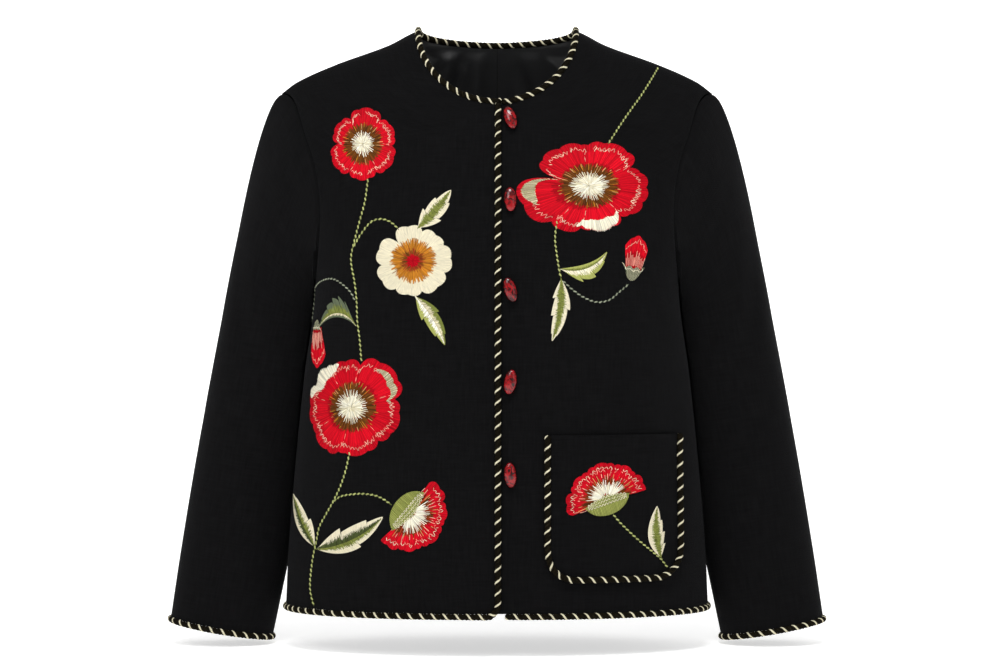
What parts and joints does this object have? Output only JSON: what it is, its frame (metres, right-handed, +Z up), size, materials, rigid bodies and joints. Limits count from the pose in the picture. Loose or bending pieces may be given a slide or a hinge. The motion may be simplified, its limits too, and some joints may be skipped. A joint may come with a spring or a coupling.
{
  "type": "embroidered jacket",
  "caption": "Short collarless black jacket in its worn shape, empty, with poppy embroidery, two-colour cord edging, a patch pocket and red oval buttons.",
  "frame": {"origin": "on the centre plane and the side seams' plane, level with the side neck points, where the wearer's shoulders carry the jacket", "axes": "+Z up, the front faces -Y, +X towards the wearer's left"},
  "size_m": [0.6614, 0.239, 0.615],
  "materials": {
    "cloth": "matte black woven cloth",
    "lining": "black satin",
    "cord": "dark olive twisted cord with one cream strand",
    "embroidery": "stranded thread in red, cream, brown and green",
    "buttons": "glossy dark red with darker mottling"
  },
  "bodies": {
    "root": {"front_right": "cloth", "front_left": "cloth", "back": "cloth", "sleeve_right": "cloth", "sleeve_left": "cloth", "pocket": "cloth", "lining_back_right": "lining", "lining_back_left": "lining", "cord_neck": "cord", "cord_front_edge": "cord", "cord_hem": "cord", "cord_cuff_right": "cord", "cord_cuff_left": "cord", "cord_pocket": "cord", "button_1": "buttons", "button_2": "buttons", "button_3": "buttons", "button_4": "buttons", "button_5": "buttons"}
  },
  "joints": []
}
